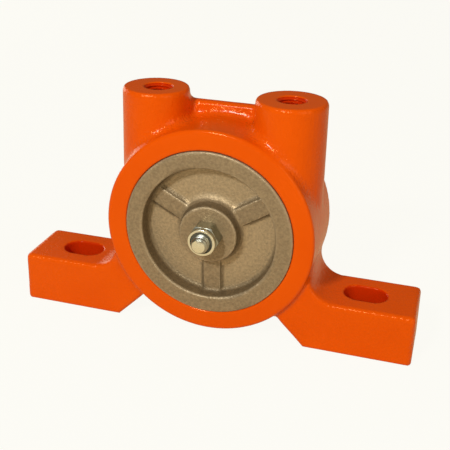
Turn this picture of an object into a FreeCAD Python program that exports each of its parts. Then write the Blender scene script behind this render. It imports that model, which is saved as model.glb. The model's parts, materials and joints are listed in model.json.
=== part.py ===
import FreeCAD, Part
import math
import os

# Pneumatic ball vibrator, in millimetres and degrees.
# X runs along the two feet, Y along the barrel from the nut side to the bolt head side, Z is up.
# The origin is midway between the two foot slots, on the underside of the feet.

# Ball, races and the land between them
ball_radius = 9.525
ball_gap = 0.35               # running gap between the ball and its raceway
ball_side_gap = 0.4           # between the ball and each cover
ball_bolt_gap = 9.85          # between the ball's path and the centre bolt
race_wall = 6.0               # from the raceway's deepest circle to the bore
race_shoulder = 4.7           # depth of the raceway below the race's own bore
race_corner = 0.6
race_fit = 0.04
land_width = 8.0              # land in the middle of the bore, between the races
land_relief = 2.4             # from the ball's outermost circle out to the land

# Covers, one on each side
cover_thickness = 9.575
cover_fit = 0.1
cover_proud = 0.5             # rim of a cover beyond the face of the barrel
cover_edge = 0.5
cover_floor = 2.1
rim_width = 7.8
recess_draft = 2.0
recess_edge = 0.5
recess_corner = 0.7           # cast corner between the floor and the recess's wall
hub_wall = 9.2                # from the bolt hole out to the hub's edge
hub_sink = 0.15               # face of the hub below the rim
hub_draft = 3.0
hub_edge = 0.5
hub_corner = 1.9              # cast corner at the foot of the hub
spoke_count = 3
first_spoke = 272.0           # direction of the first spoke, nearly straight down
spoke_width = 8.0
spoke_rise = 1.7
spoke_draft = 18.0
seal_section = 2.0            # height of the O-ring's section, squeezed in its groove
seal_gap = 0.1                # room around the O-ring in its groove

# Centre bolt and lock nut
bolt_radius = 3.95
bolt_clearance = 0.3          # in the covers
bolt_tip_length = 4.0         # beyond the nut
bolt_tip_chamfer = 0.9
bolt_head_height = 5.4
hexagon_wall = 2.4            # from the thread's crest to a flat
hexagon_chamfer = 25.0
nut_hexagon_height = 6.4
nut_collar_height = 2.3
nut_collar_step = 0.05        # from a flat in to the collar
nut_lip = 1.1                 # lip of the collar, rolled in over the insert
nut_lip_edge = 0.3
nut_fit = 0.05                # between the thread's crest and the nut
insert_thickness = 1.5
insert_sink = 0.7             # top of the insert below the lip

# Housing: barrel
barrel_wall = 9.3
barrel_edge = 0.8             # chamfer turned on both faces
barrel_clearance = 3.0        # from the barrel down to the underside of the feet
bore_edge = 0.5
facing_stock = 6.0            # cast length that is turned off each face

# Housing: port bosses and the rib between them
port_inset = 2.2              # from the raceway's deepest circle in to a port's axis
inlet_shift = 1.0             # inlet port drilled off its boss's middle, towards the rib
port_radius = 6.1             # mean radius of the pipe thread
port_depth = 16.0
port_mouth = 0.4
passage_radius = 3.2          # drilling from a port into the chamber
drill_point = 59.0            # half of the drill's point angle
boss_rise = 11.8              # above the crown of the barrel
inlet_boss_radius = 15.0      # at the top
exhaust_boss_radius = 15.8    # at the top
boss_draft = 0.75
boss_edge = 0.8
rib_rise = 5.5                # above the crown of the barrel
rib_thickness = 5.8
rib_offset = 5.2              # from the middle plane back to the rib's front face
rib_edge = 1.8
blend_radius = 3.0            # cast blend where bosses, rib and barrel meet

# Housing: feet
slot_spacing = 141.6
slot_width = 13.5
slot_length = 20.0
slot_mouth = 0.4
foot_end = 24.45              # from a slot's centre to the end of its foot
foot_height = 24.5
foot_setback = 3.0            # from the barrel's face back to the foot's face
foot_end_draft = 1.0
foot_corner = 1.4
foot_edge = 0.8
foot_sweep = 12.5             # sweep from the top of a foot into the barrel
underside_span = 91.4         # clear span between the two undersides
relief_angle = 45.0           # slope of the relief under the barrel
relief_fillet = 3.0

# How far one cast form sinks into another, how far a test looks past an edge, and what counts as near
sink = 0.05
probe = 0.2
near = 0.01
exact = 0.00001

# Values worked out from the sizes above
groove_radius = ball_radius + ball_gap
orbit_radius = bolt_radius + ball_bolt_gap + ball_radius
raceway_radius = orbit_radius + groove_radius
land_radius = orbit_radius + ball_radius + land_relief
land_half = land_width / 2
bore_radius = raceway_radius + race_wall
cover_radius = bore_radius - cover_fit
recess_radius = cover_radius - rim_width
cover_seat = ball_radius + ball_side_gap
cover_rim = cover_seat + cover_thickness
recess_floor = cover_seat + cover_floor
seal_middle = (cover_seat + cover_rim - cover_edge) / 2
bolt_hole_radius = bolt_radius + bolt_clearance
hub_radius = bolt_hole_radius + hub_wall
hub_face = cover_rim - hub_sink
hexagon_flats = 2 * (bolt_radius + hexagon_wall)
nut_height = nut_hexagon_height + nut_collar_height
nut_collar_radius = hexagon_flats / 2 - nut_collar_step
barrel_radius = bore_radius + barrel_wall
barrel_half = cover_rim - cover_proud
axis_height = barrel_radius + barrel_clearance
crown = axis_height + barrel_radius
port_offset = raceway_radius - port_inset
boss_top = crown + boss_rise
foot_depth = 2 * (barrel_half - foot_setback)
foot_reach = slot_spacing / 2 + foot_end

origin = FreeCAD.Vector(0, 0, 0)
x_axis = FreeCAD.Vector(1, 0, 0)
y_axis = FreeCAD.Vector(0, 1, 0)
z_axis = FreeCAD.Vector(0, 0, 1)
barrel_centre = z_axis * axis_height


def tangent(degrees):
    return math.tan(math.radians(degrees))


def point(x, z):
    return FreeCAD.Vector(x, 0, z)


def line(start, end):
    return Part.makeLine(start, end)


def arc(start, middle, end):
    return Part.Arc(start, middle, end).toShape()


def revolve(outline):
    """Solid of revolution about Z from a closed outline of (radius, height) pairs."""
    corners = [point(radius, height) for radius, height in outline]
    corners.append(corners[0])
    return Part.Face(Part.makePolygon(corners)).revolve(origin, z_axis, 360)


def place(shape, side):
    """Turn a piece made along +Z onto the barrel's axis, facing -Y for side -1 and +Y for side 1."""
    placed = shape.copy()
    placed.rotate(origin, x_axis, 90)
    if side > 0:
        placed.rotate(origin, z_axis, 180)
    placed.translate(barrel_centre)
    return placed


def one_solid(shape):
    return shape.removeSplitter().Solids[0]


def ball():
    sphere = Part.makeSphere(ball_radius)
    sphere.translate(barrel_centre - z_axis * orbit_radius)
    return sphere


def race():
    """Hardened ring with half of the ball's raceway ground into its inner corner."""
    outer = bore_radius - race_fit
    shoulder_radius = raceway_radius - race_shoulder
    first_turn = math.asin(land_half / groove_radius)
    last_turn = math.acos((shoulder_radius - orbit_radius) / groove_radius)
    turns = [first_turn, (first_turn + last_turn) / 2, last_turn]
    groove = [point(orbit_radius + groove_radius * math.cos(turn), groove_radius * math.sin(turn))
              for turn in turns]
    corners = [groove[-1], point(shoulder_radius, cover_seat), point(outer - race_corner, cover_seat),
               point(outer, cover_seat - race_corner), point(outer, land_half), groove[0]]
    sides = [line(start, end) for start, end in zip(corners, corners[1:])]
    section = Part.Face(Part.Wire([arc(*groove)] + sides))
    return section.revolve(origin, z_axis, 360)


def spoke(degrees):
    """Raised bar from the hub to the rim of a cover, with drafted sides."""
    half = spoke_width / 2
    flare = half + spoke_rise * tangent(spoke_draft)
    low = recess_floor - sink
    high = recess_floor + spoke_rise
    inner = (bolt_hole_radius + hub_radius) / 2
    outer = (recess_radius + cover_radius) / 2
    section = [FreeCAD.Vector(inner, -flare, low), FreeCAD.Vector(inner, flare, low),
               FreeCAD.Vector(inner, half, high), FreeCAD.Vector(inner, -half, high)]
    section.append(section[0])
    bar = Part.Face(Part.makePolygon(section)).extrude(x_axis * (outer - inner))
    bar.rotate(origin, z_axis, degrees)
    return bar


def cover():
    """Cast cover: flat rim, recessed floor with spokes and a hub, and an O-ring groove in its edge."""
    groove_low = seal_middle - seal_section / 2 - seal_gap
    groove_high = seal_middle + seal_section / 2 + seal_gap
    groove_floor = bore_radius - seal_section - seal_gap
    recess_inset = (cover_rim - recess_floor) * tangent(recess_draft)
    hub_flare = (hub_face - recess_floor) * tangent(hub_draft)
    disc = revolve([
        (bolt_hole_radius, cover_seat),
        (cover_radius, cover_seat),
        (cover_radius, groove_low),
        (groove_floor, groove_low),
        (groove_floor, groove_high),
        (cover_radius, groove_high),
        (cover_radius, cover_rim - cover_edge),
        (cover_radius - cover_edge, cover_rim),
        (recess_radius + recess_edge, cover_rim),
        (recess_radius, cover_rim - recess_edge),
        (recess_radius - recess_inset, recess_floor + recess_corner),
        (recess_radius - recess_inset - recess_corner, recess_floor),
        (hub_radius + hub_flare + hub_corner, recess_floor),
        (hub_radius + hub_flare, recess_floor + hub_corner),
        (hub_radius, hub_face - hub_edge),
        (hub_radius - hub_edge, hub_face),
        (bolt_hole_radius, hub_face),
    ])
    spokes = [spoke(first_spoke + turn * 360 / spoke_count) for turn in range(spoke_count)]
    return one_solid(disc.fuse(spokes))


def cover_seal():
    """O-ring, its round section squeezed nearly to an octagon in the cover's groove."""
    sides = 8
    middle = bore_radius - race_fit - seal_section / 2
    corner = seal_section / 2 / math.cos(math.pi / sides)
    turns = [(2 * side + 1) * math.pi / sides for side in range(sides)]
    return revolve([(middle + corner * math.cos(turn), seal_middle + corner * math.sin(turn))
                    for turn in turns])


def hexagon(height, chamfer_bottom):
    """Hexagonal prism on Z = 0 with the corners turned off at its top, and at its bottom if asked."""
    sides = 6
    flat_radius = hexagon_flats / 2
    corner_radius = flat_radius / math.cos(math.pi / sides)
    drop = (corner_radius - flat_radius) * tangent(hexagon_chamfer)
    corners = []
    for side in range(sides + 1):
        angle = 2 * math.pi * side / sides
        corners.append(FreeCAD.Vector(math.cos(angle), math.sin(angle), 0) * corner_radius)
    prism = Part.Face(Part.makePolygon(corners)).extrude(z_axis * height)
    outline = [(0, 0), (corner_radius, 0), (corner_radius, height - drop), (flat_radius, height),
               (0, height)]
    if chamfer_bottom:
        outline[1:2] = [(flat_radius, 0), (corner_radius, drop)]
    return prism.common(revolve(outline))


def centre_bolt():
    """Bolt along the barrel's axis: head on the rear cover, tip past the nut at the front."""
    tip = -(hub_face + nut_height + bolt_tip_length)
    shank = revolve([(0, tip), (bolt_radius - bolt_tip_chamfer, tip), (bolt_radius, tip + bolt_tip_chamfer),
                     (bolt_radius, hub_face + sink), (0, hub_face + sink)])
    head = hexagon(bolt_head_height, False)
    head.translate(z_axis * hub_face)
    return one_solid(shank.fuse(head))


def lock_nut():
    """Hexagon with a round collar, whose lip is rolled in over the locking insert."""
    collar = revolve([(0, 0), (nut_collar_radius, 0), (nut_collar_radius, nut_height - nut_lip_edge),
                      (nut_collar_radius - nut_lip_edge, nut_height), (0, nut_height)])
    body = one_solid(hexagon(nut_hexagon_height, True).fuse(collar))
    bore = Part.makeCylinder(bolt_radius + nut_fit, nut_height)
    pocket_floor = nut_height - insert_sink - insert_thickness
    pocket = Part.makeCylinder(nut_collar_radius - nut_lip, nut_height, z_axis * pocket_floor)
    nut = one_solid(body.cut([bore, pocket]))
    nut.translate(z_axis * hub_face)
    return nut


def lock_nut_insert():
    top = hub_face + nut_height - insert_sink
    bottom = top - insert_thickness
    inner = bolt_radius + nut_fit
    outer = nut_collar_radius - nut_lip - nut_fit
    return revolve([(inner, bottom), (outer, bottom), (outer, top), (inner, top)])


def boss(x, radius):
    rise = boss_top - axis_height
    base_radius = radius + rise * tangent(boss_draft)
    return Part.makeCone(base_radius, radius, rise, FreeCAD.Vector(x, 0, axis_height))


def rib():
    """Straight rib between the bosses, behind the middle plane, with rounded top edges."""
    corner = FreeCAD.Vector(-port_offset, rib_offset, axis_height)
    block = Part.makeBox(2 * port_offset, rib_thickness, barrel_radius + rib_rise, corner)
    top_edges = [edge for edge in block.Edges
                 if edge.BoundBox.ZMin > crown and edge.BoundBox.XLength > port_offset]
    return block.makeFillet(rib_edge, top_edges)


def is_inside_corner(solid, edge):
    """True where the two faces at an edge meet in an inside corner."""
    middle = edge.valueAt((edge.FirstParameter + edge.LastParameter) / 2)
    normals = []
    for face in solid.ancestorsOfType(edge, Part.Face):
        normals.append(face.normalAt(*face.Surface.parameter(middle)))
    if len(normals) != 2 or normals[0].cross(normals[1]).Length < near:
        return False
    along = normals[1] - normals[0] * normals[0].dot(normals[1])
    along.normalize()
    return solid.isInside(middle + along * probe - normals[0] * sink, exact, False)


def turned_off():
    """What the lathe takes off one face of the barrel: the casting stock and a chamfer."""
    reach = 2 * barrel_edge
    chamfer = revolve([(barrel_radius - barrel_edge, barrel_half), (barrel_radius + reach, barrel_half),
                       (barrel_radius + reach, barrel_half - barrel_edge - reach)])
    stock = Part.makeCylinder(barrel_radius + facing_stock, 2 * facing_stock, z_axis * barrel_half)
    return stock.fuse(chamfer)


def upper_casting():
    """Barrel with the two port bosses and the rib, blended where they meet, then faced and chamfered."""
    cast_half = barrel_half + facing_stock
    barrel = Part.makeCylinder(barrel_radius, 2 * cast_half, barrel_centre - y_axis * cast_half, y_axis)
    bosses = [boss(-port_offset, inlet_boss_radius), boss(port_offset, exhaust_boss_radius)]
    casting = one_solid(barrel.fuse(bosses + [rib()]))
    corners = [edge for edge in casting.Edges if is_inside_corner(casting, edge)]
    blend = min(blend_radius, rib_rise - rib_edge, boss_rise - rib_rise - boss_edge)
    casting = casting.makeFillet(blend, corners)
    casting = casting.cut([place(turned_off(), -1), place(turned_off(), 1)])
    boss_edges = [edge for edge in casting.Edges if edge.BoundBox.ZMin > boss_top - near]
    return casting.makeChamfer(boss_edge, boss_edges)


def slot_cutter():
    """Upright slot through a foot, with a chamfered mouth at the top of the foot."""
    radius = slot_width / 2
    straight = slot_length - slot_width
    left = FreeCAD.Vector(-straight / 2, 0, 0)
    right = FreeCAD.Vector(straight / 2, 0, 0)
    height = foot_height + foot_sweep
    mouth = z_axis * (foot_height - slot_mouth)
    flare = 2 * slot_mouth
    wide = radius + flare
    section = [(-radius, 0), (radius, 0), (wide, flare), (-wide, flare), (-radius, 0)]
    trapezium = [left + mouth + FreeCAD.Vector(0, across, up) for across, up in section]
    forms = [Part.makeCylinder(radius, height, right),
             Part.makeBox(straight, slot_width, height, left - y_axis * radius),
             Part.makeCone(radius, wide, flare, left + mouth),
             Part.makeCone(radius, wide, flare, right + mouth),
             Part.Face(Part.makePolygon(trapezium)).extrude(x_axis * straight)]
    return Part.makeCylinder(radius, height, left).fuse(forms).removeSplitter()


def foot():
    """The right foot: an outline that sweeps up into the barrel, drawn to the foot's depth."""
    sunk_radius = barrel_radius - sink
    top_reach = foot_reach - foot_height * tangent(foot_end_draft)
    inner_depth = barrel_wall / 2

    # Sweep: an arc that touches the foot's top and the barrel.
    sweep_z = foot_height + foot_sweep
    sweep_x = math.sqrt((sunk_radius + foot_sweep) ** 2 - (axis_height - sweep_z) ** 2)
    sweep_centre = point(sweep_x, sweep_z)
    sweep_inward = (barrel_centre - sweep_centre).normalize()
    sweep_start = point(sweep_x, foot_height)
    sweep_middle = sweep_centre + (sweep_inward - z_axis).normalize() * foot_sweep
    sweep_end = sweep_centre + sweep_inward * foot_sweep
    sweep_inside = sweep_end + sweep_inward * inner_depth

    # Relief: a slope up from the underside, then an arc that touches the slope and the barrel.
    slope = math.radians(relief_angle)
    up_slope = FreeCAD.Vector(-math.cos(slope), 0, math.sin(slope))
    off_slope = FreeCAD.Vector(-math.sin(slope), 0, -math.cos(slope))
    corner = point(underside_span / 2, 0)
    start = corner + off_slope * relief_fillet - barrel_centre
    along = start.dot(up_slope)
    distance = -along - math.sqrt(along ** 2 - start.dot(start) + (sunk_radius + relief_fillet) ** 2)
    relief_start = corner + up_slope * distance
    relief_centre = relief_start + off_slope * relief_fillet
    relief_inward = (barrel_centre - relief_centre).normalize()
    relief_middle = relief_centre + (relief_inward - off_slope).normalize() * relief_fillet
    relief_end = relief_centre + relief_inward * relief_fillet
    relief_inside = relief_end + relief_inward * inner_depth

    toe = point(foot_reach, 0)
    toe_top = point(top_reach, foot_height)
    outline = Part.Wire([
        line(corner, toe), line(toe, toe_top), line(toe_top, sweep_start),
        arc(sweep_start, sweep_middle, sweep_end), line(sweep_end, sweep_inside),
        line(sweep_inside, relief_inside), line(relief_inside, relief_end),
        arc(relief_end, relief_middle, relief_start), line(relief_start, corner),
    ])
    block = Part.Face(outline).extrude(y_axis * foot_depth)
    block.translate(y_axis * (-foot_depth / 2))

    uprights = [edge for edge in block.Edges
                if edge.BoundBox.XMin > top_reach - near and edge.BoundBox.ZLength > foot_height / 2]
    block = block.makeFillet(foot_corner, uprights)
    rim = [edge for edge in block.Edges if edge.BoundBox.ZMin > foot_height - near
           and (edge.BoundBox.XMin > top_reach - near or edge.BoundBox.YLength < near)
           and edge.BoundBox.XMax > sweep_end.x + near]
    block = block.makeChamfer(foot_edge, rim)
    slot = slot_cutter()
    slot.translate(x_axis * (slot_spacing / 2))
    return block.cut(slot)


def port_cutter(x):
    """Tapped port with a chamfered mouth, its drill point, and the drilling on into the chamber."""
    bottom = boss_top - port_depth
    point_depth = (port_radius - passage_radius) / tangent(drill_point)
    outline = [(0, axis_height), (passage_radius, axis_height), (passage_radius, bottom - point_depth),
               (port_radius, bottom), (port_radius, boss_top - port_mouth),
               (port_radius + 2 * port_mouth, boss_top + port_mouth), (0, boss_top + port_mouth)]
    cutter = revolve(outline)
    cutter.translate(x_axis * x)
    return cutter


def housing():
    """The casting in one piece, with the bore, its land and the two ports machined in."""
    right_foot = foot()
    left_foot = right_foot.mirror(origin, x_axis)
    casting = one_solid(upper_casting().fuse([left_foot, right_foot]))
    seat = revolve([(0, land_half), (bore_radius, land_half), (bore_radius, barrel_half - bore_edge),
                    (bore_radius + 2 * bore_edge, barrel_half + bore_edge), (0, barrel_half + bore_edge)])
    land = Part.makeCylinder(land_radius, 2 * land_width, z_axis * -land_width)
    ports = [port_cutter(inlet_shift - port_offset), port_cutter(port_offset)]
    return one_solid(casting.cut([place(seat, -1), place(seat, 1), place(land, 1)] + ports))


def build():
    pieces = {
        "housing": housing(),
        "front_race": place(race(), -1),
        "rear_race": place(race(), 1),
        "ball": ball(),
        "front_cover": place(cover(), -1),
        "rear_cover": place(cover(), 1),
        "front_cover_seal": place(cover_seal(), -1),
        "rear_cover_seal": place(cover_seal(), 1),
        "centre_bolt": place(centre_bolt(), 1),
        "lock_nut": place(lock_nut(), -1),
        "lock_nut_insert": place(lock_nut_insert(), -1),
    }
    os.makedirs("parts", exist_ok=True)
    for name, shape in pieces.items():
        shape.exportStep("parts/" + name + ".step")


build()
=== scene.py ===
import json
import math

import bmesh
import bpy
import numpy as np
from mathutils import Matrix, Vector


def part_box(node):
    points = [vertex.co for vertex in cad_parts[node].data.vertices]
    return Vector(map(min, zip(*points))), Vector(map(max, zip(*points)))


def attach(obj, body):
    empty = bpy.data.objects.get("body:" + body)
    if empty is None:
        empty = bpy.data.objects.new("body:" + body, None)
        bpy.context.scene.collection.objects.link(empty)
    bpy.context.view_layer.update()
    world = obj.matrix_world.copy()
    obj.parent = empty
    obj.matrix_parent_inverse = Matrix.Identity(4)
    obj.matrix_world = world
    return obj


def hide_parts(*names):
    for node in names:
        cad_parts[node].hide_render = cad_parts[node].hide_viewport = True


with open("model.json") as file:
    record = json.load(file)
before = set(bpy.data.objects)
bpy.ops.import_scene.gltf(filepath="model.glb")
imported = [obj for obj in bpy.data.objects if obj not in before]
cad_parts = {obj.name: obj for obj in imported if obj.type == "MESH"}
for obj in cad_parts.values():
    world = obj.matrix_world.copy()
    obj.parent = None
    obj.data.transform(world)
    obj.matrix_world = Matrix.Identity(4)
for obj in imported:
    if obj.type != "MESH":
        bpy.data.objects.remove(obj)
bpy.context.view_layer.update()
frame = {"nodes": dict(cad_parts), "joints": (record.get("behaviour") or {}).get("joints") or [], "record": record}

# Lengths are in metres, in the frame of the solids: X along the feet, -Y towards the nut, Z up.
mm = 0.001

# Places taken from the frame
barrel_axis = Vector(frame["joints"][0]["pos_m"])
mounts = {mount["name"]: mount for mount in frame["record"]["mounts"]}
ports = {name: Vector(mounts[name]["pos_m"]) for name in ("inlet_port", "exhaust_port")}
housing_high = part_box("housing")[1]
cover_low, cover_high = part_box("front_cover")
bolt_low, bolt_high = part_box("centre_bolt")
nut_low, nut_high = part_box("lock_nut")
insert_low, insert_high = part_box("lock_nut_insert")

# Cast skins
housing_cell = 0.82 * mm
housing_passes = 2
housing_cast = {"Soft Steps": 14, "Edge Ease": 0.12, "Wave Size": 7 * mm, "Wave Depth": 0.10 * mm,
                "Grain Size": 1.9 * mm, "Grain Depth": 0.05 * mm, "Corner Grain": 9.0, "Seed": 3.0}
cover_cell = 0.5 * mm
cover_passes = 3
cover_cast = {"Soft Steps": 16, "Edge Ease": 0.0, "Wave Size": 3.5 * mm, "Wave Depth": 0.10 * mm,
              "Grain Size": 1.2 * mm, "Grain Depth": 0.08 * mm, "Corner Grain": 0.5}
cover_seed = 11.0
remesh_depth = 8
pass_strength = 0.5                # share of the way to its neighbours that a pass moves a point
merge_distance = 0.001 * mm
cast_crease = math.radians(80)     # a sharper bend is shaded as an edge

# Folds in a skin. Lean is the angle between two faces in radians, from flat to fully folded.
# Spread is how many points the mark runs on for, and share is the range of it that counts.
skin_folds = {"hollow": {"lean": (-0.02, -0.30), "spread": 3, "share": (0.03, 0.22)},
              "ridge": {"lean": (0.06, 0.40), "spread": 1, "share": (0.10, 0.50)}}

# Machined and bare faces of the castings
skin_margin = 0.4 * mm             # how far a machined face is told from the casting beside it
face_band = 4 * skin_margin        # turned edge behind the barrel's two faces
port_band = 2 * skin_margin        # round a port's thread
slot_band = 3 * skin_margin        # round a slot in a foot
slot_wall = skin_margin / 2        # on the wall of a slot
facing_down = -0.9                 # slope of the normals on the feet's undersides
bare_start = 1.5 * mm              # depth in the bore where the paint ends

# Covers
cover_floor = 2.1 * mm
cover_clearance = 0.1 * mm         # between a cover's edge and the bore
recess_lift_depth = 6.5 * mm          # below the rim, where the plate is painted lighter to offset the recess's shade
steep_start = 1.0 * mm             # below the rim, where the recess's walls and their painted shade begin
steep_facing = 0.5                 # a wall that turns less than this towards the front gets painted shade
hub_foot = 13.83 * mm              # radius of the hub where it meets the floor
hub_draft = math.radians(3)
hub_sweep = 4.4 * mm               # radius of the cast sweep from the floor up to the hub
hub_sweep_root = 1 * mm            # how far the sweep is sunk into the floor and the hub
hub_sweep_steps = 10
hub_reach = hub_foot + hub_sweep

# Threads
thread_pitch = 1.411 * mm          # eighteen turns to the inch, on the bolt and in the ports
thread_flat = 0.14                 # share of a flank that is cut flat at the crest, and again at the root
thread_around = 56
thread_rows_per_turn = 11
bolt_radius = 3.95 * mm
bolt_thread_depth = 0.8 * mm
bolt_thread_length = 22 * mm
bolt_lead = 1.5 * mm
bolt_tip_cut = 0.3 * mm            # chamfer at the very end, below the thread's root
port_wall = mounts["inlet_port"]["dims"]["r_mm"] * mm
port_wall_reach = 0.05 * mm        # a point this close to a port's wall belongs to it
port_seat = port_wall + 0.4 * mm   # wall of the housing behind the thread
port_thread_depth = 0.8 * mm
port_thread_root = port_wall + 0.3 * mm
port_thread_back = port_seat + 0.3 * mm    # outside of the thread's sleeve, sunk into that wall
port_lead = 1.1 * mm
port_thread_drop = 0.4 * mm        # from the top of the housing down to the thread's start

# Nut and bolt head
around_steps = 96
around_angles = np.arange(around_steps) * 2 * math.pi / around_steps
turned_crease = math.radians(35)   # a sharper bend is shaded as an edge, on threads too
hexagon_ratio = math.cos(math.pi / 6)      # from the corners to the flats
hexagon_chamfer = math.radians(25)
edge_ease = 0.16 * mm
head_rim, head_dish = 0.93, 0.90   # shares of the flats where the step on the head's face starts and ends
head_step = 0.12 * mm
nut_hexagon_height = 6.4 * mm
nut_collar_inset = 0.05 * mm
nut_clearance = 0.05 * mm          # round the bolt and round the nylon ring
nut_lip_edge = 0.3 * mm
nut_lip_steps = 5
nylon_bulge = 0.5 * mm             # how far the bulge of the nylon ring's inner edge reaches outwards
nylon_bulge_drop = 0.3 * mm

# Seals
seal_section = 2.0 * mm
seal_clearance = 0.04 * mm
seal_steps = 16

# Tones of the finishes. A pair is mixed by a grain, by rings or by smears.
enamel_tones = ((0.82, 0.094, 0.0006), (0.78, 0.084, 0.0004))
# darker red enamel inside the slots and ports: painted shade
shaded_enamel_in_holes = (0.62, 0.03, 0.0006)
enamel_sheen = (1.0, 0.42, 0.12, 1.0)      # tint of what the paint mirrors
bare_iron_tones = ((0.36, 0.35, 0.34), (0.27, 0.265, 0.26))
plain_plate_tones = ((0.39, 0.287, 0.16), (0.28, 0.203, 0.109))
# plate painted lighter for the recess's deep floor, to offset its shade
recess_lift_plate_tones = ((0.53, 0.395, 0.22), (0.38, 0.283, 0.157))
# light plate along the cover's outer edges: a painted highlight
edge_highlight_plate = (0.56, 0.44, 0.27)
# dark brown painted shade for the cover's corners and the recess's walls
recess_shade_colour = (0.07, 0.05, 0.025)
dull_zinc_tones = ((0.42, 0.43, 0.36), (0.31, 0.32, 0.26))
burnished_zinc = (0.86, 0.855, 0.69)
ground_steel_tones = ((0.50, 0.50, 0.51), (0.40, 0.40, 0.41))
polished_steel_tones = ((0.66, 0.66, 0.68), (0.58, 0.57, 0.56))
rubber_tones = ((0.018, 0.018, 0.018), (0.04, 0.04, 0.038))
nylon_tones = ((0.16, 0.15, 0.10), (0.10, 0.095, 0.065))

# Ranges of the finishes' patterns that count, from none to all, and what they weigh
patch_range = (0.32, 0.68)
ring_range = (0.3, 0.7)
smear_range = (0.42, 0.7)
ring_slant = 0.37                  # how much a step along the barrel shifts its turned lines
cell_weight = 0.6                  # of the rounded grains, beside the finer noise
gloss_gain = -0.1                  # change of roughness along folds, and where zinc is burnished
hollow_coat, ridge_coat = 0.24, 0.1
# share of the painted highlight along the cover's outer edges
edge_highlight = 0.5
# weights of the painted shade in hollow corners and on the recess's walls
corner_shade, wall_shade = 0.5, 0.45

# Stage. Each lamp is a square that looks at the object from a direction.
floor_reach = 3.0
floor_drop = 0.2 * mm              # below the feet
floor_paper = (0.64, 0.63, 0.60, 1.0)
floor_seen, floor_mirrored = (1.0, 0.99, 0.935), (1.0, 0.70, 0.30)
floor_seen_glow, floor_mirrored_glow = 0.95, 0.5
world_lit, world_mirrored, world_seen = (1.0, 0.985, 0.95), (1.0, 0.75, 0.36), (0.973, 0.965, 0.905)
world_lit_glow, world_mirrored_glow = 0.30, 0.14
lamp_distance = 1.0
lamps = {
    "key": {"towards": (-0.2, -0.82, 0.62), "size": 0.12, "watts": 6.3, "colour": (1.0, 1.0, 1.0)},
    "fill": {"towards": (0.75, -0.55, 0.35), "size": 0.6, "watts": 1.95, "colour": (1.0, 0.87, 0.66)},
    "back": {"towards": (-0.86, 0.55, 0.1), "size": 0.6, "watts": 2.3, "colour": (1.0, 0.9, 0.75)}}

# Photograph's view
camera_azimuth = math.radians(16.19)
camera_elevation = math.radians(24.58)
camera_roll = math.radians(1.57)
camera_distance = 379.45 * mm
camera_target = Vector((2.57 * mm, 0, 48.57 * mm))
camera_lens = 64.82
camera_sensor = 36
camera_near, camera_far = 0.01, 20


# Nodes


def add(tree, kind, settings=None, sockets=None):
    """Adds a node. Settings are its properties; sockets are values, or outputs to link from."""
    node = tree.nodes.new(kind)
    for name, value in (settings or {}).items():
        setattr(node, name, value)
    for key, value in (sockets or {}).items():
        if isinstance(value, bpy.types.NodeSocket):
            tree.links.new(value, node.inputs[key])
        else:
            node.inputs[key].default_value = value
    return node


def calc(tree, operation, *values):
    """A Math node over one to three values or outputs."""
    return add(tree, "ShaderNodeMath", {"operation": operation}, dict(enumerate(values))).outputs[0]


def ramp(tree, value, low, high, to_low=0.0, to_high=1.0, smooth=False):
    """Value carried from one range to another, held at both ends."""
    kind = "SMOOTHSTEP" if smooth else "LINEAR"
    sockets = {"Value": value, "From Min": low, "From Max": high, "To Min": to_low, "To Max": to_high}
    return add(tree, "ShaderNodeMapRange", {"interpolation_type": kind}, sockets).outputs[0]


def between(tree, share, first, last):
    """A value that goes from first to last as a share goes from 0 to 1."""
    return ramp(tree, share, 0.0, 1.0, first, last)


def new_group(name, kind, inputs, outputs):
    """A node group with named sockets, and its two end nodes."""
    tree = bpy.data.node_groups.new(name, kind)
    for label, socket in inputs.items():
        tree.interface.new_socket(name=label, in_out="INPUT", socket_type=socket)
    for label, socket in outputs.items():
        tree.interface.new_socket(name=label, in_out="OUTPUT", socket_type=socket)
    return tree, tree.nodes.new("NodeGroupInput").outputs, tree.nodes.new("NodeGroupOutput").inputs


NUMBER, WHOLE, YES_NO = "NodeSocketFloat", "NodeSocketInt", "NodeSocketBool"
MESH, FINISH = "NodeSocketGeometry", "NodeSocketMaterial"


def finish_mesh(tree, geometry, crease, material, result):
    """Ends a geometry tree: smooth faces but sharp creases, no instances, one material."""
    smooth = add(tree, "GeometryNodeSetShadeSmooth", None, {"Geometry": geometry})
    bend = add(tree, "GeometryNodeInputMeshEdgeAngle").outputs["Unsigned Angle"]
    sharp = add(tree, "GeometryNodeSetShadeSmooth", {"domain": "EDGE"}, {
        "Geometry": smooth.outputs[0], "Shade Smooth": False,
        "Selection": calc(tree, "GREATER_THAN", bend, crease)})
    real = add(tree, "GeometryNodeRealizeInstances", None, {"Geometry": sharp.outputs[0]})
    painted = add(tree, "GeometryNodeSetMaterial", None,
                  {"Geometry": real.outputs[0], "Material": material})
    tree.links.new(painted.outputs[0], result["Geometry"])


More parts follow.
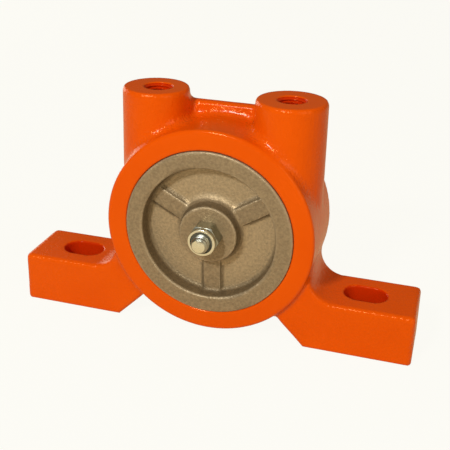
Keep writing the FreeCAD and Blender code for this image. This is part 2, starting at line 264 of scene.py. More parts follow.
def helical_thread():
    """Screw thread along Z from its lead-in at zero: a rod, or a sleeve threaded on its inside."""
    tree, given, result = new_group("helical_thread", "GeometryNodeTree", {
        "Root Radius": NUMBER, "Depth": NUMBER, "Pitch": NUMBER, "Length": NUMBER,
        "Thread Length": NUMBER, "Lead": NUMBER, "Tip Cut": NUMBER, "Back Radius": NUMBER,
        "Hollow": YES_NO, "Around": WHOLE, "Rows": WHOLE, "Material": FINISH}, {"Geometry": MESH})
    rows = given["Rows"]
    all_rows = calc(tree, "ADD", calc(tree, "ADD", rows, 2.0), given["Hollow"])
    columns = calc(tree, "ADD", given["Around"], 1.0)
    grid = add(tree, "GeometryNodeMeshGrid", None,
               {"Size X": 1.0, "Size Y": 1.0, "Vertices X": columns, "Vertices Y": all_rows})
    place = add(tree, "GeometryNodeInputPosition").outputs[0]
    split = add(tree, "ShaderNodeSeparateXYZ", None, {0: place}).outputs
    turn = calc(tree, "ADD", split["X"], 0.5)
    row = calc(tree, "ROUND", calc(tree, "MULTIPLY", calc(tree, "ADD", split["Y"], 0.5),
                                   calc(tree, "SUBTRACT", all_rows, 1.0)))

    # Height of a row. The first and last thread rows repeat at the back radius; a sleeve closes on itself.
    share = calc(tree, "DIVIDE", calc(tree, "SUBTRACT", row, 1.0), calc(tree, "SUBTRACT", rows, 1.0))
    closing = calc(tree, "GREATER_THAN", row, calc(tree, "ADD", rows, 1.5))
    held = add(tree, "ShaderNodeClamp", None, {"Value": share}).outputs[0]
    height = calc(tree, "MULTIPLY", calc(tree, "MULTIPLY", held, calc(tree, "SUBTRACT", 1.0, closing)),
                  given["Length"])
    at_back = calc(tree, "MAXIMUM", calc(tree, "LESS_THAN", row, 0.5),
                   calc(tree, "GREATER_THAN", row, calc(tree, "ADD", rows, 0.5)))

    # Section of the thread: a wave with flat crests and roots, faded at the lead-in and into a plain shank.
    phase = calc(tree, "FRACT", calc(tree, "SUBTRACT", calc(tree, "DIVIDE", height, given["Pitch"]), turn))
    wave = calc(tree, "ABSOLUTE", calc(tree, "SUBTRACT", calc(tree, "MULTIPLY", phase, 2.0), 1.0))
    crest = ramp(tree, wave, thread_flat, 1 - thread_flat)
    shank = ramp(tree, height, calc(tree, "SUBTRACT", given["Thread Length"], given["Pitch"]),
                 given["Thread Length"], smooth=True)
    lead = ramp(tree, height, 0.0, given["Lead"])
    rise = calc(tree, "MINIMUM", calc(tree, "MAXIMUM", crest, shank), lead)
    threaded = calc(tree, "MULTIPLY_ADD", given["Depth"], rise, given["Root Radius"])
    tip = calc(tree, "SUBTRACT", 1.0, ramp(tree, height, 0.0, given["Tip Cut"]))
    threaded = calc(tree, "SUBTRACT", threaded, calc(tree, "MULTIPLY", tip, given["Tip Cut"]))
    radius = add(tree, "ShaderNodeMix", {"data_type": "FLOAT"},
                 {"Factor": at_back, "A": threaded, "B": given["Back Radius"]}).outputs[0]
    angle = calc(tree, "MULTIPLY", turn, 2 * math.pi)
    spot = add(tree, "ShaderNodeCombineXYZ", None, {
        "X": calc(tree, "MULTIPLY", radius, calc(tree, "COSINE", angle)),
        "Y": calc(tree, "MULTIPLY", radius, calc(tree, "SINE", angle)), "Z": height})
    moved = add(tree, "GeometryNodeSetPosition", None,
                {"Geometry": grid.outputs["Mesh"], "Position": spot.outputs[0]})
    joined = add(tree, "GeometryNodeMergeByDistance", None,
                 {"Geometry": moved.outputs[0], "Distance": merge_distance})
    turned = add(tree, "GeometryNodeSwitch", {"input_type": "GEOMETRY"}, {
        "Switch": given["Hollow"], "False": joined.outputs[0],
        "True": add(tree, "GeometryNodeFlipFaces", None, {"Mesh": joined.outputs[0]}).outputs[0]})
    finish_mesh(tree, turned.outputs[0], turned_crease, given["Material"], result)
    return tree


def casting_skin():
    """A cast surface: hollow corners softened and outer edges eased, then slow waves and a grain pushed in.

    Nothing is moved where the attribute machined is 1. The corners are kept as the attribute hollow, where
    the grain is strongest, and the outer edges as ridge.
    """
    tree, given, result = new_group("casting_skin", "GeometryNodeTree", {
        "Geometry": MESH, "Soft Steps": WHOLE, "Edge Ease": NUMBER, "Wave Size": NUMBER,
        "Wave Depth": NUMBER, "Grain Size": NUMBER, "Grain Depth": NUMBER, "Corner Grain": NUMBER,
        "Seed": NUMBER, "Material": FINISH}, {"Geometry": MESH})
    place = add(tree, "GeometryNodeInputPosition").outputs[0]
    machined = add(tree, "GeometryNodeInputNamedAttribute", {"data_type": "FLOAT"}, {"Name": "machined"})
    cast = calc(tree, "SUBTRACT", 1.0, machined.outputs["Attribute"])

    # Faces that lean towards each other have a negative angle, and those of an outer edge a positive one.
    lean = add(tree, "GeometryNodeInputMeshEdgeAngle").outputs["Signed Angle"]
    kept = given["Geometry"]
    for name, fold in skin_folds.items():
        bend = add(tree, "GeometryNodeFieldOnDomain", {"domain": "EDGE", "data_type": "FLOAT"},
                   {0: ramp(tree, lean, *fold["lean"])})
        wide = add(tree, "GeometryNodeBlurAttribute", {"data_type": "FLOAT"},
                   {"Value": bend.outputs[0], "Iterations": fold["spread"]})
        share = ramp(tree, wide.outputs[0], *fold["share"])
        if name == "hollow":
            share = calc(tree, "MULTIPLY", share, cast)
        kept = add(tree, "GeometryNodeStoreNamedAttribute", {"data_type": "FLOAT", "domain": "POINT"},
                   {"Geometry": kept, "Name": name, "Value": share}).outputs[0]
    hollow, ridge = (add(tree, "GeometryNodeInputNamedAttribute", {"data_type": "FLOAT"},
                         {"Name": name}).outputs["Attribute"] for name in skin_folds)
    eased = calc(tree, "MULTIPLY", calc(tree, "MULTIPLY", ridge, cast), given["Edge Ease"])
    even = add(tree, "GeometryNodeBlurAttribute", {"data_type": "FLOAT_VECTOR"}, {
        "Value": place, "Iterations": given["Soft Steps"], "Weight": calc(tree, "MAXIMUM", hollow, eased)})
    softened = add(tree, "GeometryNodeSetPosition", None, {"Geometry": kept, "Position": even.outputs[0]})

    push = []
    for size, depth, detail in (("Wave Size", "Wave Depth", 1.0), ("Grain Size", "Grain Depth", 2.0)):
        scale = calc(tree, "DIVIDE", 1.0, given[size])
        cloud = add(tree, "ShaderNodeTexNoise", {"noise_dimensions": "4D"},
                    {"Vector": place, "W": given["Seed"], "Scale": scale, "Detail": detail})
        middle = calc(tree, "SUBTRACT", cloud.outputs[0], 0.5)
        push.append(calc(tree, "MULTIPLY", middle, given[depth]))
    corner = calc(tree, "MULTIPLY_ADD", hollow, given["Corner Grain"], 1.0)
    push[1] = calc(tree, "MULTIPLY", push[1], corner)
    depth = calc(tree, "MULTIPLY", calc(tree, "ADD", *push), cast)
    normal = add(tree, "GeometryNodeInputNormal").outputs[0]
    offset = add(tree, "ShaderNodeVectorMath", {"operation": "SCALE"}, {0: normal, "Scale": depth})
    moved = add(tree, "GeometryNodeSetPosition", None,
                {"Geometry": softened.outputs[0], "Offset": offset.outputs[0]})
    finish_mesh(tree, moved.outputs[0], cast_crease, given["Material"], result)
    return tree


# Shader groups


def cast_grain():
    """Grain of a cast surface: a height for bumps, and a slow tone from 0 to 1."""
    tree, given, result = new_group("cast_grain", "ShaderNodeTree", {
        "Grain Size": NUMBER, "Patch Size": NUMBER}, {"Height": NUMBER, "Tone": NUMBER})
    place = add(tree, "ShaderNodeTexCoord").outputs["Object"]
    grain_scale = calc(tree, "DIVIDE", 1.0, given["Grain Size"])
    patch_scale = calc(tree, "DIVIDE", 1.0, given["Patch Size"])
    grain = add(tree, "ShaderNodeTexNoise", None, {"Vector": place, "Scale": grain_scale, "Detail": 3.0})
    cells = add(tree, "ShaderNodeTexVoronoi", {"feature": "SMOOTH_F1"},
                {"Vector": place, "Scale": grain_scale, "Smoothness": 0.6})
    patch = add(tree, "ShaderNodeTexNoise", None, {"Vector": place, "Scale": patch_scale, "Detail": 4.0})
    height = calc(tree, "MULTIPLY_ADD", cells.outputs["Distance"], cell_weight, grain.outputs[0])
    tree.links.new(height, result["Height"])
    tree.links.new(ramp(tree, patch.outputs[0], *patch_range), result["Tone"])
    return tree


def turned_lines():
    """Fine rings left by a tool turning about the barrel's axis: a height and a tone."""
    tree, given, result = new_group("turned_lines", "ShaderNodeTree", {"Line Width": NUMBER},
                                    {"Height": NUMBER, "Tone": NUMBER})
    place = add(tree, "ShaderNodeTexCoord").outputs["Object"]
    split = add(tree, "ShaderNodeSeparateXYZ", None, {0: place}).outputs
    up = calc(tree, "SUBTRACT", split["Z"], barrel_axis.z)
    out = calc(tree, "SQRT", calc(tree, "ADD", calc(tree, "MULTIPLY", split["X"], split["X"]),
                                  calc(tree, "MULTIPLY", up, up)))
    along = calc(tree, "ADD", out, calc(tree, "MULTIPLY", split["Y"], ring_slant))
    scale = calc(tree, "DIVIDE", 1.0, given["Line Width"])
    rings = add(tree, "ShaderNodeTexNoise", {"noise_dimensions": "1D"},
                {"W": along, "Scale": scale, "Detail": 3.0, "Roughness": 0.7})
    tree.links.new(rings.outputs[0], result["Height"])
    tree.links.new(ramp(tree, rings.outputs[0], *ring_range), result["Tone"])
    return tree


def handling_marks():
    """Smears and dull patches from handling, from 0 to 1."""
    tree, given, result = new_group("handling_marks", "ShaderNodeTree", {"Size": NUMBER}, {"Mask": NUMBER})
    place = add(tree, "ShaderNodeTexCoord").outputs["Object"]
    scale = calc(tree, "DIVIDE", 1.0, given["Size"])
    smear = add(tree, "ShaderNodeTexNoise", None,
                {"Vector": place, "Scale": scale, "Detail": 5.0, "Distortion": 0.8})
    tree.links.new(ramp(tree, smear.outputs[0], *smear_range), result["Mask"])
    return tree


# Materials


def new_material(name, **plain):
    """A material with its shader. Plain values are set on the shader's own sockets."""
    material = bpy.data.materials.new(name)
    material.use_nodes = True
    tree = material.node_tree
    shader = tree.nodes["Principled BSDF"]
    for key, value in plain.items():
        shader.inputs[key.replace("_", " ")].default_value = value
    return material, tree, shader


def use_group(tree, group, **sizes):
    """Places a shader group in a material with its own sizes."""
    node = tree.nodes.new("ShaderNodeGroup")
    node.node_tree = group
    for key, value in sizes.items():
        node.inputs[key.replace("_", " ")].default_value = value
    return node.outputs


def colour_mix(tree, share, first, second):
    """A colour between two, each three numbers or an output."""
    colours = [value if isinstance(value, bpy.types.NodeSocket) else (*value, 1.0)
               for value in (first, second)]
    return add(tree, "ShaderNodeMix", {"data_type": "RGBA"},
               {"Factor": share, 6: colours[0], 7: colours[1]}).outputs[2]


def two_tone(tree, shader, share, first, second):
    """Base colour between two tones."""
    tree.links.new(colour_mix(tree, share, first, second), shader.inputs["Base Color"])


def roughness(tree, shader, share, smooth, rough, polished=None):
    """Roughness that goes from smooth to rough with a share, and is less where polished is 1."""
    value = between(tree, share, smooth, rough)
    if polished is not None:
        value = calc(tree, "MULTIPLY_ADD", polished, gloss_gain, value)
    tree.links.new(value, shader.inputs["Roughness"])


def attribute(tree, name):
    """A number that the piece keeps for each of its points."""
    return add(tree, "ShaderNodeAttribute", {"attribute_name": name}).outputs["Fac"]


def bump(tree, shader, height, distance, strength):
    """Fine relief on a finish."""
    node = add(tree, "ShaderNodeBump", None, {"Height": height, "Distance": distance, "Strength": strength})
    tree.links.new(node.outputs[0], shader.inputs["Normal"])


def orange_enamel(groups):
    """Gloss enamel over a sand casting: lumpy and glossier along corners and edges, painted darker red inside
    holes as shade.

    The bore is left bare for the races and the seals, so its turned iron shows there.
    """
    material, tree, shader = new_material("orange_enamel", IOR=1.5, Specular_IOR_Level=0.4,
                                          Specular_Tint=enamel_sheen, Coat_Roughness=0.18)
    grain = use_group(tree, groups["cast_grain"], Grain_Size=1.3 * mm, Patch_Size=28 * mm)
    marks = use_group(tree, groups["handling_marks"], Size=35 * mm)
    rings = use_group(tree, groups["turned_lines"], Line_Width=0.3 * mm)
    outside = colour_mix(tree, grain["Tone"], *enamel_tones)
    # inside the holes the enamel is painted darker red, as shade
    painted = colour_mix(tree, attribute(tree, "inside"), outside, shaded_enamel_in_holes)
    iron = colour_mix(tree, rings["Tone"], *bare_iron_tones)
    bare = attribute(tree, "bare")
    two_tone(tree, shader, bare, painted, iron)
    tree.links.new(bare, shader.inputs["Metallic"])
    hollow, ridge = attribute(tree, "hollow"), attribute(tree, "ridge")
    folds = calc(tree, "MAXIMUM", hollow, ridge)
    roughness(tree, shader, marks["Mask"], smooth=0.22, rough=0.3, polished=folds)
    thick = calc(tree, "MULTIPLY_ADD", hollow, hollow_coat, calc(tree, "MULTIPLY", ridge, ridge_coat))
    tree.links.new(thick, shader.inputs["Coat Weight"])
    lumps = between(tree, folds, 0.3, 1.0)
    kept = between(tree, attribute(tree, "machined"), 1.0, 0.2)
    bump(tree, shader, grain["Height"], distance=0.4 * mm, strength=calc(tree, "MULTIPLY", lumps, kept))
    return material


def cover_casting(groups):
    """Plated casting with a sandy grain: painted lighter on the recess's floor to offset its shade, painted
    highlight along its outer edges, painted shade in its corners and on the recess's walls.
    """
    material, tree, shader = new_material("cover_casting", Metallic=0.55, IOR=1.5, Specular_IOR_Level=0.4)
    grain = use_group(tree, groups["cast_grain"], Grain_Size=0.6 * mm, Patch_Size=1.2 * mm)
    open_tone = colour_mix(tree, grain["Tone"], *plain_plate_tones)
    recess_lift = colour_mix(tree, grain["Tone"], *recess_lift_plate_tones)
    # the recess's deep floor is painted lighter, to offset its shade
    plated = colour_mix(tree, attribute(tree, "recess_lift"), open_tone, recess_lift)
    # painted highlight: the plate is lighter along the outer edges
    highlight_share = calc(tree, "MULTIPLY", attribute(tree, "ridge"), edge_highlight)
    highlighted = colour_mix(tree, highlight_share, plated, edge_highlight_plate)
    # Painted shade: darker in hollow corners, except along the hub's sweep, and on the recess's walls
    corner = calc(tree, "SUBTRACT", attribute(tree, "hollow"), attribute(tree, "swept"))
    painted_shade = calc(tree, "MAXIMUM", calc(tree, "MULTIPLY", corner, corner_shade),
                calc(tree, "MULTIPLY", attribute(tree, "shaded_wall"), wall_shade))
    two_tone(tree, shader, painted_shade, highlighted, recess_shade_colour)
    roughness(tree, shader, grain["Tone"], smooth=0.42, rough=0.56)
    bump(tree, shader, grain["Height"], distance=0.22 * mm, strength=0.8)
    return material


def zinc_plate(groups):
    """Dull zinc on turned steel, burnished to a warm white at the lip and the bolt's end."""
    material, tree, shader = new_material("zinc_plate", Metallic=1.0)
    rings = use_group(tree, groups["turned_lines"], Line_Width=0.25 * mm)
    marks = use_group(tree, groups["handling_marks"], Size=4 * mm)
    burnished = attribute(tree, "burnished")
    dull = colour_mix(tree, marks["Mask"], *dull_zinc_tones)
    two_tone(tree, shader, burnished, dull, burnished_zinc)
    roughness(tree, shader, marks["Mask"], smooth=0.36, rough=0.5, polished=burnished)
    bump(tree, shader, rings["Height"], distance=0.02 * mm, strength=0.5)
    return material


def ground_steel(groups):
    """Hardened and ground steel, with the grinding running round the barrel's axis."""
    material, tree, shader = new_material("ground_steel", Metallic=1.0)
    rings = use_group(tree, groups["turned_lines"], Line_Width=0.12 * mm)
    two_tone(tree, shader, rings["Tone"], *ground_steel_tones)
    roughness(tree, shader, rings["Tone"], smooth=0.16, rough=0.30)
    bump(tree, shader, rings["Height"], distance=0.01 * mm, strength=0.4)
    return material


def polished_steel(groups):
    """Bearing steel, polished, with faint smears of oil."""
    material, tree, shader = new_material("polished_steel", Metallic=1.0)
    marks = use_group(tree, groups["handling_marks"], Size=7 * mm)
    two_tone(tree, shader, marks["Mask"], *polished_steel_tones)
    roughness(tree, shader, marks["Mask"], smooth=0.05, rough=0.14)
    return material


def seal_rubber(groups):
    """Black moulded rubber with a dull bloom."""
    material, tree, shader = new_material("seal_rubber", Metallic=0.0, IOR=1.5)
    marks = use_group(tree, groups["handling_marks"], Size=6 * mm)
    grain = use_group(tree, groups["cast_grain"], Grain_Size=0.4 * mm, Patch_Size=5 * mm)
    two_tone(tree, shader, marks["Mask"], *rubber_tones)
    roughness(tree, shader, marks["Mask"], smooth=0.5, rough=0.75)
    bump(tree, shader, grain["Height"], distance=0.02 * mm, strength=0.5)
    return material


def locking_nylon(groups):
    """Grey-green nylon, scuffed by the thread that cut into it."""
    material, tree, shader = new_material("locking_nylon", Metallic=0.0, IOR=1.53)
    rings = use_group(tree, groups["turned_lines"], Line_Width=0.4 * mm)
    two_tone(tree, shader, rings["Tone"], *nylon_tones)
    roughness(tree, shader, rings["Tone"], smooth=0.4, rough=0.55)
    bump(tree, shader, rings["Height"], distance=0.03 * mm, strength=0.4)
    return material


# Meshes


def new_piece(name, mesh):
    """An object at the origin."""
    piece = bpy.data.objects.new(name, mesh)
    bpy.context.scene.collection.objects.link(piece)
    return piece


def settle(piece):
    """Turns a piece's modifiers into a plain mesh."""
    bpy.context.view_layer.update()
    graph = bpy.context.evaluated_depsgraph_get()
    mesh = bpy.data.meshes.new_from_object(piece.evaluated_get(graph))
    piece.modifiers.clear()
    piece.data = mesh
    mesh.name = piece.name
    return piece


def run_tree(piece, tree, values):
    """Runs a geometry tree on a piece, with values for its named inputs, and keeps a plain mesh."""
    modifier = piece.modifiers.new(tree.name, "NODES")
    modifier.node_group = tree
    for item in tree.interface.items_tree:
        if item.in_out == "INPUT" and item.name in values:
            modifier[item.identifier] = values[item.name]
    return settle(piece)


def points_of(mesh, value="co"):
    """The place of each point of a mesh, or its normal."""
    flat = np.zeros(len(mesh.vertices) * 3)
    mesh.vertices.foreach_get(value, flat)
    return flat.reshape(-1, 3)


def axis_distance(spots):
    """Distance of points from the barrel's axis."""
    return np.hypot(spots[:, 0], spots[:, 2] - barrel_axis.z)


def merged_copy(node):
    """A copy of a solid's mesh with its loose triangles joined into one skin."""
    skin = bmesh.new()
    skin.from_mesh(frame["nodes"][node].data)
    bmesh.ops.remove_doubles(skin, verts=skin.verts, dist=merge_distance)
    mesh = bpy.data.meshes.new(node)
    skin.to_mesh(mesh)
    skin.free()
    return mesh


def even_skin(name, mesh, cell, passes, added=None):
    """A closed form, joined with an added one, in small even faces, its edges eased by smoothing passes."""
    piece = new_piece(name, mesh)
    if added:
        join = piece.modifiers.new("join", "BOOLEAN")
        join.operation = "UNION"
        join.object = added
    remesh = piece.modifiers.new("even", "REMESH")
    remesh.mode = "SHARP"
    remesh.octree_depth = remesh_depth
    remesh.scale = np.ptp(points_of(mesh), axis=0).max() / (cell * 2 ** remesh_depth)
    remesh.use_remove_disconnected = False
    ease = piece.modifiers.new("ease", "SMOOTH")
    ease.factor = pass_strength
    ease.iterations = passes
    settle(piece)
    if added:
        bpy.data.objects.remove(added)
    return piece


def mark(piece, name, shares):
    """Keeps one number from 0 to 1 for each point of a piece, for its finish."""
    kept = piece.data.attributes.new(name, "FLOAT", "POINT")
    every = np.broadcast_to(shares, len(piece.data.vertices))
    kept.data.foreach_set("value", every.astype(np.float32))


def turned_form(name, rings, closed):
    """A skin through rings of (radius, height) about Z, each a number or one value for each step around.

    A closed one runs from its last ring back to its first; an open one starts and ends on the axis.
    """
    mesh = bmesh.new()
    loops = []
    for radius, height in rings:
        radius = np.broadcast_to(radius, around_steps)
        height = np.broadcast_to(height, around_steps)
        if radius.max() == 0:
            loops.append([mesh.verts.new((0, 0, height[0]))])
            continue
        spots = zip(radius * np.cos(around_angles), radius * np.sin(around_angles), height)
        loops.append([mesh.verts.new(spot) for spot in spots])
    pairs = list(zip(loops, loops[1:]))
    if closed:
        pairs.append((loops[-1], loops[0]))
    for low, high in pairs:
        for step in range(around_steps):
            after = (step + 1) % around_steps
            corners = [low[step % len(low)], low[after % len(low)],
                       high[after % len(high)], high[step % len(high)]]
            mesh.faces.new(list(dict.fromkeys(corners)))
    bmesh.ops.remove_doubles(mesh, verts=mesh.verts, dist=merge_distance)
    data = bpy.data.meshes.new(name)
    mesh.to_mesh(data)
    mesh.free()
    data.shade_smooth()
    return data


def turned_piece(name, rings, closed, side, start):
    """A turned form on the barrel's axis, facing -Y for side -1 and +Y for side 1, from a Y place."""
    piece = new_piece(name, turned_form(name, rings, closed))
    turn = Matrix.Rotation(math.radians(90), 4, "X")
    if side > 0:
        turn = Matrix.Rotation(math.radians(180), 4, "Z") @ turn
    piece.data.transform(Matrix.Translation((0, start, barrel_axis.z)) @ turn)
    return piece


def threaded_piece(name, tree, material, length, sizes):
    """A piece made by the thread's tree, its rows counted over a length. Sizes are its other inputs."""
    piece = new_piece(name, bpy.data.meshes.new(name))
    rows = round(length / thread_pitch * thread_rows_per_turn)
    return run_tree(piece, tree, {"Pitch": thread_pitch, "Length": length, "Around": thread_around,
                                  "Rows": rows, "Material": material, **sizes})


def crisp(piece):
    """Keeps a turned piece's edges sharp and its flats flat, and smooths the rest."""
    piece.data.set_sharp_from_angle(angle=turned_crease)
    piece.modifiers.new("flats", "WEIGHTED_NORMAL").keep_sharp = True
    return settle(piece)


def dress(piece, material, node):
    """Gives a piece its finish, and lets it stand for a solid on the casing."""
    piece.data.materials.clear()
    piece.data.materials.append(material)
    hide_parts(node)
    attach(piece, "casing")


# Pieces


def widen_ports(mesh):
    """Moves the ports' walls out, so that their threads have room."""
    for vertex in mesh.vertices:
        for port in ports.values():
            out = Vector((vertex.co.x - port.x, vertex.co.y - port.y, 0))
            if abs(out.length - port_wall) < port_wall_reach and vertex.co.z > barrel_axis.z:
                vertex.co += out.normalized() * (port_seat - port_wall)


def mark_housing(piece):
    """Tells the bare bore, the insides of the slots and all machined faces from the rest of the casting."""
    spots = points_of(piece.data)
    from_middle = np.abs(spots[:, 1])
    in_bore = axis_distance(spots) < cover_high.x + skin_margin
    mark(piece, "bare", in_bore & (from_middle < housing_high.y - bare_start))

    slot = mounts["foot_slots"]["dims"]
    slot_radius = slot["hole_r_mm"] * mm
    straight = slot["slot_length_mm"] * mm / 2 - slot_radius
    from_slot = np.abs(np.abs(spots[:, 0]) - slot["spacing_x_mm"] * mm / 2)
    to_slot = np.hypot(np.maximum(from_slot - straight, 0), spots[:, 1])
    # the slots' insides get the darker red of painted shade
    mark(piece, "inside", to_slot < slot_radius + slot_wall)

    underside = (spots[:, 2] < skin_margin) & (points_of(piece.data, "normal")[:, 2] < facing_down)
    machined = in_bore | underside | (from_middle > -cover_low.y - face_band)
    machined |= (spots[:, 2] > housing_high.z - skin_margin) | (to_slot < slot_radius + slot_band)
    for port in ports.values():
        machined |= np.hypot(spots[:, 0] - port.x, spots[:, 1] - port.y) < port_seat + port_band
    mark(piece, "machined", machined)


def housing_skin(tree, material):
    """The casting under its enamel: eased edges, slow waves, and machined faces left true."""
    mesh = merged_copy("housing")
    widen_ports(mesh)
    piece = even_skin("housing_casting", mesh, housing_cell, housing_passes)
    mark_housing(piece)
    run_tree(piece, tree, {**housing_cast, "Material": material})
    dress(piece, material, "housing")


def hub_sweep_ring(side):
    """Ring of metal in the corner between a cover's floor and its hub, hollowed to a round sweep."""
    centre = hub_foot + hub_sweep * (1 - math.sin(hub_draft)) / math.cos(hub_draft)
    arc = [(centre - hub_sweep * math.cos(turn), hub_sweep * (1 - math.sin(turn)))
           for turn in np.linspace(math.pi / 2, hub_draft, hub_sweep_steps)]
    inner = arc[-1][0] - hub_sweep_root
    rings = [(inner, -hub_sweep_root), (centre, -hub_sweep_root)] + arc + [(inner, arc[-1][1])]
    return turned_piece("hub_sweep", rings, True, side, side * (abs(cover_high.y) + cover_floor))


def cover_skin(tree, material, side, node):
    """A cast cover: soft inside corners and a sandy face; its seat and its edge stay true."""
    piece = even_skin(node + "_casting", merged_copy(node), cover_cell, cover_passes, hub_sweep_ring(side))
    spots = points_of(piece.data)
    from_axis = axis_distance(spots)
    from_middle = np.abs(spots[:, 1])
    on_seat = from_middle < abs(cover_high.y) + skin_margin
    mark(piece, "machined", on_seat | (from_axis > cover_high.x - skin_margin))
    depth = abs(cover_low.y) - from_middle
    facing = np.abs(points_of(piece.data, "normal")[:, 1])
    # deep in the recess the plate is painted lighter, to offset the shade there
    mark(piece, "recess_lift", depth > recess_lift_depth)
    # the recess's walls get painted shade
    mark(piece, "shaded_wall", (depth > steep_start) & (facing < steep_facing))
    mark(piece, "swept", from_axis < hub_reach)
    run_tree(piece, tree, {**cover_cast, "Seed": cover_seed + side, "Material": material})
    dress(piece, material, node)


def port_threads(tree, material):
    """Pipe thread in each port, cut right-handed from the mouth down and without a plain shank."""
    for name, port in ports.items():
        length = mounts[name]["dims"]["length_mm"] * mm
        piece = threaded_piece(name + "_thread", tree, material, length, {
            "Root Radius": port_thread_root, "Depth": -port_thread_depth, "Thread Length": 2 * length,
            "Lead": port_lead, "Tip Cut": 0.0, "Back Radius": port_thread_back, "Hollow": True})
        # the port's thread gets the darker red of painted shade
        mark(piece, "inside", 1.0)
        start = Vector((port.x, port.y, housing_high.z - port_thread_drop))
        piece.data.transform(Matrix.Translation(start) @ Matrix.Rotation(math.pi, 4, "X"))
        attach(piece, "casing")


def hexagon_radius(flat):
    """Distance from the axis to a hexagon's side, for each step around, with eased corners."""
    corner = flat / hexagon_ratio - edge_ease
    return np.minimum(flat / np.cos(around_angles % (math.pi / 3) - math.pi / 6), corner)


def hexagon_rings(flat, height, chamfer_bottom):
    """Rings up the outside of a hexagon whose corners are turned off."""
    side = hexagon_radius(flat)
    drop = (side - flat) * math.tan(hexagon_chamfer)
    bottom = [(flat, 0), (side, drop)] if chamfer_bottom else [(side, 0)]
    return bottom + [(side, height - drop), (flat, height)]


def centre_bolt(tree, material):
    """Hexagon head at the back, and a shank threaded to its tip."""
    rear_seat = -nut_high.y
    length = rear_seat - bolt_low.y
    piece = threaded_piece("centre_bolt_threaded", tree, material, length, {
        "Root Radius": bolt_radius - bolt_thread_depth, "Depth": bolt_thread_depth,
        "Length": length + edge_ease, "Thread Length": bolt_thread_length, "Lead": bolt_lead,
        "Tip Cut": bolt_tip_cut, "Back Radius": 0.0, "Hollow": False})
    turn = Matrix.Rotation(math.radians(-90), 4, "X")
    piece.data.transform(Matrix.Translation((0, bolt_low.y, barrel_axis.z)) @ turn)
    mark(piece, "burnished", points_of(piece.data)[:, 1] < bolt_low.y + merge_distance)
    dress(piece, material, "centre_bolt")

    flat = bolt_high.x * hexagon_ratio
    height = bolt_high.y - rear_seat
    rings = [(0, 0)] + hexagon_rings(flat, height, False)
    rings += [(head_rim * flat, height), (head_dish * flat, height - head_step), (0, height - head_step)]
    head = crisp(turned_piece("centre_bolt_head", rings, False, 1, rear_seat))
    dress(head, material, "centre_bolt")


def lock_nut(material):
    """Hexagon with a round collar, whose lip is rolled in over the nylon ring."""
    flat = nut_high.x * hexagon_ratio
    height = nut_high.y - nut_low.y
    collar = flat - nut_collar_inset
    pocket = insert_high.x + nut_clearance
    pocket_floor = nut_high.y - insert_high.y
    bore = bolt_radius + nut_clearance
    lip = [(collar - nut_lip_edge * (1 - math.cos(turn)), height - nut_lip_edge * (1 - math.sin(turn)))
           for turn in np.linspace(0, math.pi / 2, nut_lip_steps)]
    rings = [(bore, 0)] + hexagon_rings(flat, nut_hexagon_height, True)
    rings += [(collar, nut_hexagon_height + nut_collar_inset)] + lip
    rings += [(pocket, height), (pocket, pocket_floor), (bore, pocket_floor)]
    piece = crisp(turned_piece("lock_nut_body", rings, True, -1, nut_high.y))
    mark(piece, "burnished", points_of(piece.data)[:, 1] < nut_low.y + nut_lip_edge)
    dress(piece, material, "lock_nut")


def nylon_ring(material):
    """Locking ring under the nut's lip, its inner edge bulged where the bolt came through."""
    thickness = insert_high.y - insert_low.y
    inner = bolt_radius - bolt_thread_depth / 2
    rings = [(inner, 0), (insert_high.x, 0), (insert_high.x, thickness), (inner + nylon_bulge, thickness),
             (inner, thickness - nylon_bulge_drop)]
    piece = crisp(turned_piece("lock_nut_ring", rings, True, -1, insert_high.y))
    dress(piece, material, "lock_nut_insert")


def seals(material):
    """O-rings in the covers' edges."""
    half = seal_section / 2
    middle = cover_high.x + cover_clearance - seal_clearance - half
    turns = np.arange(seal_steps) * 2 * math.pi / seal_steps
    rings = [(middle + half * math.cos(turn), half * math.sin(turn)) for turn in turns]
    for node, side in (("front_cover_seal", -1), ("rear_cover_seal", 1)):
        low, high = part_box(node)
        piece = turned_piece(node + "_ring", rings, True, side, (low.y + high.y) / 2)
        dress(piece, material, node)


# Stage


def pale_floor():
    """Pale floor that shows nearly white to the camera and in reflections, and keeps a soft shadow."""
    mesh = bpy.data.meshes.new("floor")
    signs = ((-1, -1), (1, -1), (1, 1), (-1, 1))
    corners = [(x * floor_reach, y * floor_reach, -floor_drop) for x, y in signs]
    mesh.from_pydata(corners, [], [(0, 1, 2, 3)])
    plane = new_piece("floor", mesh)
    material = bpy.data.materials.new("pale_floor")
    material.use_nodes = True
    tree = material.node_tree
    tree.nodes.clear()
    paper = add(tree, "ShaderNodeBsdfDiffuse", None, {"Color": floor_paper})
    path = add(tree, "ShaderNodeLightPath").outputs
    mirrored = calc(tree, "MAXIMUM", path["Is Glossy Ray"], path["Is Transmission Ray"])
    colour = colour_mix(tree, mirrored, floor_seen, floor_mirrored)
    glow = add(tree, "ShaderNodeEmission", None, {"Color": colour, "Strength": 1.0})
    share = calc(tree, "MAXIMUM", calc(tree, "MULTIPLY", path["Is Camera Ray"], floor_seen_glow),
                 calc(tree, "MULTIPLY", mirrored, floor_mirrored_glow))
    mixed = add(tree, "ShaderNodeMixShader", None, {0: share, 1: paper.outputs[0], 2: glow.outputs[0]})
    out = add(tree, "ShaderNodeOutputMaterial")
    tree.links.new(mixed.outputs[0], out.inputs["Surface"])
    mesh.materials.append(material)


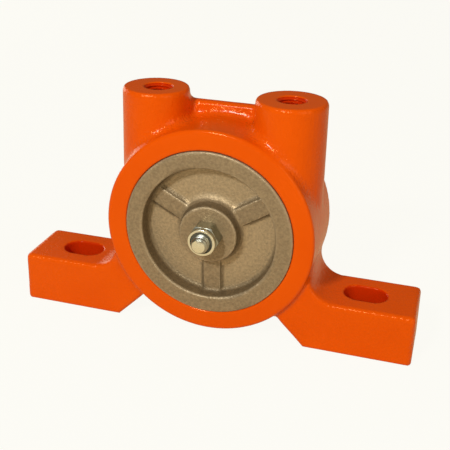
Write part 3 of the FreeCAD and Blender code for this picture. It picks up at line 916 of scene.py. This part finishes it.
def world_light():
    """Dim even light from all round, which the camera sees as a pale backdrop."""
    world = bpy.data.worlds.new("studio")
    world.use_nodes = True
    tree = world.node_tree
    back = tree.nodes["Background"]
    path = add(tree, "ShaderNodeLightPath").outputs
    lit_colour = colour_mix(tree, path["Is Glossy Ray"], world_lit, world_mirrored)
    tree.links.new(colour_mix(tree, path["Is Camera Ray"], lit_colour, world_seen), back.inputs["Color"])
    lit = between(tree, path["Is Glossy Ray"], world_lit_glow, world_mirrored_glow)
    tree.links.new(calc(tree, "MAXIMUM", lit, path["Is Camera Ray"]), back.inputs["Strength"])
    bpy.context.scene.world = world


def area_light(name, towards, size, watts, colour):
    """Soft square lamp that looks at the object from a direction."""
    lamp = bpy.data.lights.new(name, "AREA")
    lamp.size = size
    lamp.energy = watts
    lamp.color = colour
    holder = bpy.data.objects.new(name, lamp)
    holder.location = camera_target + Vector(towards).normalized() * lamp_distance
    holder.rotation_euler = Vector(towards).to_track_quat("Z", "Y").to_euler()
    bpy.context.scene.collection.objects.link(holder)


def camera():
    """The photograph's view: round to the right, a little above, and rolled a touch."""
    back = Vector((math.sin(camera_azimuth) * math.cos(camera_elevation),
                   -math.cos(camera_azimuth) * math.cos(camera_elevation), math.sin(camera_elevation)))
    level = Vector((math.cos(camera_azimuth), math.sin(camera_azimuth), 0))
    above = back.cross(level)
    right = level * math.cos(camera_roll) + above * math.sin(camera_roll)
    up = above * math.cos(camera_roll) - level * math.sin(camera_roll)
    lens = bpy.data.cameras.new("photo_view")
    lens.lens = camera_lens
    lens.sensor_width = camera_sensor
    lens.clip_start, lens.clip_end = camera_near, camera_far
    holder = bpy.data.objects.new("photo_view", lens)
    turn = Matrix((right, up, back)).transposed().to_4x4()
    holder.matrix_world = Matrix.Translation(camera_target + back * camera_distance) @ turn
    bpy.context.scene.collection.objects.link(holder)
    bpy.context.scene.camera = holder


def build():
    """All pieces of the vibrator, then its stage."""
    groups = {"cast_grain": cast_grain(), "turned_lines": turned_lines(),
              "handling_marks": handling_marks()}
    enamel = orange_enamel(groups)
    casting = cover_casting(groups)
    zinc = zinc_plate(groups)
    skin_tree = casting_skin()
    thread_tree = helical_thread()

    housing_skin(skin_tree, enamel)
    cover_skin(skin_tree, casting, -1, "front_cover")
    cover_skin(skin_tree, casting, 1, "rear_cover")
    port_threads(thread_tree, enamel)
    centre_bolt(thread_tree, zinc)
    lock_nut(zinc)
    nylon_ring(locking_nylon(groups))
    seals(seal_rubber(groups))

    steel = ground_steel(groups)
    for node, material in (("front_race", steel), ("rear_race", steel), ("ball", polished_steel(groups))):
        mesh = frame["nodes"][node].data
        mesh.materials.clear()
        mesh.materials.append(material)

    pale_floor()
    world_light()
    for name, lamp in lamps.items():
        area_light(name, **lamp)
    camera()
    bpy.context.scene.view_settings.view_transform = "Standard"


build()
